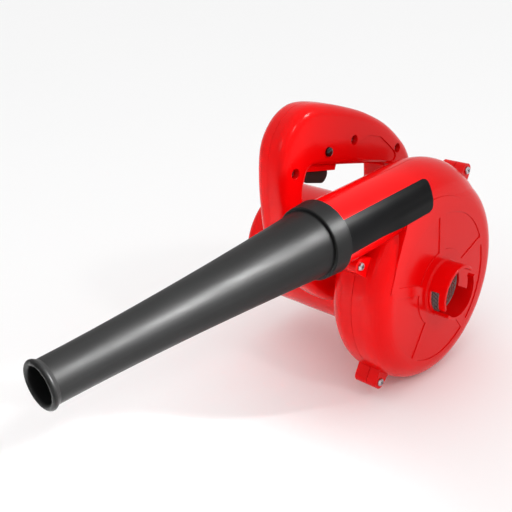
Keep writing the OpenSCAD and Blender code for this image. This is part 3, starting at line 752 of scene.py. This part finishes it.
class BLOWER_OT_studio(bpy.types.Operator):
    """Set up the floor, the lights and the camera"""
    bl_idname = "blower.studio"
    bl_label = "Studio"

    def execute(self, context):
        scene = context.scene
        scene.view_settings.view_transform = "Standard"
        self.floor(scene)
        self.sky(scene)
        for light in LIGHTS:
            self.light(scene, *light)
        self.camera(scene)
        return {"FINISHED"}

    def floor(self, scene):
        """A wide pale sheet that the part stands on."""
        half, gap = 6.0, 0.3 * MM  # half of the sheet's width, and how far it lies below the part
        level = CAD_BOX[0].z - gap
        corners = [(-half, -half), (half, -half), (half, half), (-half, half)]
        build = bmesh.new()
        build.faces.new([build.verts.new((x, y, level)) for x, y in corners])
        mesh = mesh_of(build, "floor")
        mesh.materials.append(matt_paper(scene.blower_colours.floor))
        floor = bpy.data.objects.new("floor", mesh)
        scene.collection.objects.link(floor)

    def sky(self, scene):
        """A pale sky that is brighter above."""
        at_horizon, overhead, strength = 0.6, 1, 1.12
        world = bpy.data.worlds.new("studio")
        scene.world = world
        world.use_nodes = True
        tree = world.node_tree
        tree.nodes.clear()
        place = add(tree, "ShaderNodeTexCoord")
        split = add(tree, "ShaderNodeSeparateXYZ", Vector=place.outputs["Generated"])
        ramp = add(tree, "ShaderNodeMapRange", Value=split.outputs["Z"], From_Min=0, From_Max=1,
                   To_Min=at_horizon, To_Max=overhead)
        sky = add(tree, "ShaderNodeBackground", Color=ramp.outputs["Result"], Strength=strength)
        add(tree, "ShaderNodeOutputWorld", Surface=sky.outputs["Background"])

    def light(self, scene, name, place, aim, size, spread):
        """A square soft light that faces a point and keeps its beam within the spread."""
        data = bpy.data.lights.new(name, "AREA")
        data.shape = "SQUARE"
        data.size = size
        data.energy = getattr(scene.blower_studio, name + "_power")
        data.spread = spread
        lamp = bpy.data.objects.new(name, data)
        scene.collection.objects.link(lamp)
        lamp.location = place
        lamp.rotation_euler = (Vector(aim) - Vector(place)).to_track_quat("-Z", "Y").to_euler()

    def camera(self, scene):
        """A camera given by its direction, roll and distance from the point it looks at."""
        studio = scene.blower_studio
        az, el, roll = studio.azimuth, studio.elevation, studio.roll
        ahead = Vector((-math.sin(az) * math.cos(el), math.cos(az) * math.cos(el), -math.sin(el)))
        level = Vector((math.cos(az), math.sin(az), 0))
        lift = level.cross(ahead)
        right = level * math.cos(roll) + lift * math.sin(roll)
        up = lift * math.cos(roll) - level * math.sin(roll)
        data = bpy.data.cameras.new("camera")
        data.lens = studio.lens
        data.sensor_width = 36
        data.clip_start = 0.01
        camera = bpy.data.objects.new("camera", data)
        scene.collection.objects.link(camera)
        turn = Matrix((right, up, -ahead)).transposed().to_4x4()
        camera.matrix_world = Matrix.Translation(CAMERA_TARGET - ahead * studio.distance) @ turn
        scene.camera = camera


# ---------- add-on ----------

PIECES = (
    BLOWER_OT_housing,
    BLOWER_OT_handle,
    BLOWER_OT_nozzle,
    BLOWER_OT_controls,
    BLOWER_OT_button_crown,
    BLOWER_OT_trigger,
    BLOWER_OT_trigger_spring,
    BLOWER_OT_label,
    BLOWER_OT_inlet_mesh,
    BLOWER_OT_rotor,
    BLOWER_OT_brushes,
    BLOWER_OT_fasteners,
    BLOWER_OT_studio,
)


class BLOWER_PT_panel(bpy.types.Panel):
    """Lists the settings and the steps in the 3D view's sidebar"""
    bl_idname = "BLOWER_PT_panel"
    bl_label = "Hand Blower"
    bl_space_type = "VIEW_3D"
    bl_region_type = "UI"
    bl_category = "Blower"

    def draw(self, context):
        for group in GROUPS:
            settings = getattr(context.scene, group)
            box = self.layout.box()
            for name in settings.__annotations__:
                box.prop(settings, name)
        for step in PIECES:
            self.layout.operator(step.bl_idname)


def register():
    """Registers the settings, the operators and the panel."""
    for cls in (*GROUPS.values(), *PIECES, BLOWER_PT_panel):
        bpy.utils.register_class(cls)
    for name, group in GROUPS.items():
        setattr(bpy.types.Scene, name, PointerProperty(type=group))


def unregister():
    """Takes back what register did, in the opposite order."""
    for name in GROUPS:
        delattr(bpy.types.Scene, name)
    for cls in (BLOWER_PT_panel, *reversed(PIECES), *reversed(GROUPS.values())):
        bpy.utils.unregister_class(cls)


def main():
    """Runs every step in order."""
    register()
    for step in PIECES:
        getattr(bpy.ops.blower, step.bl_idname.split(".")[1])()


if __name__ == "__main__":
    main()
